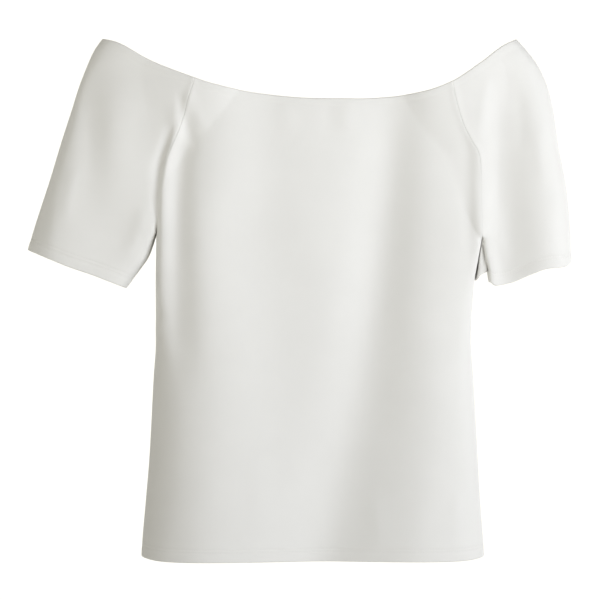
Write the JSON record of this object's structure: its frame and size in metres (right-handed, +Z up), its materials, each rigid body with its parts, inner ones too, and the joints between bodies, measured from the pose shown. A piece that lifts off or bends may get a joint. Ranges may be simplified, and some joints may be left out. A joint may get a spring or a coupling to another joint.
{
  "type": "off-shoulder top",
  "caption": "Plain off-shoulder top with short sleeves in thick white double knit, filled out and hollow, open at the neck, hem and cuffs.",
  "frame": {"origin": "centre of the neck opening, level with the lowest point of the front neckline, where the wearer's upper chest holds the top", "axes": "+Z up along the garment, -Y out of its front, +X towards its right side as seen from the front"},
  "size_m": [0.6089, 0.1274, 0.5841],
  "materials": {
    "double_knit": "smooth matt double knit, off-white"
  },
  "bodies": {
    "root": {"front_panel": "double_knit", "back_panel": "double_knit", "sleeve_left": "double_knit", "sleeve_right": "double_knit"}
  },
  "joints": []
}
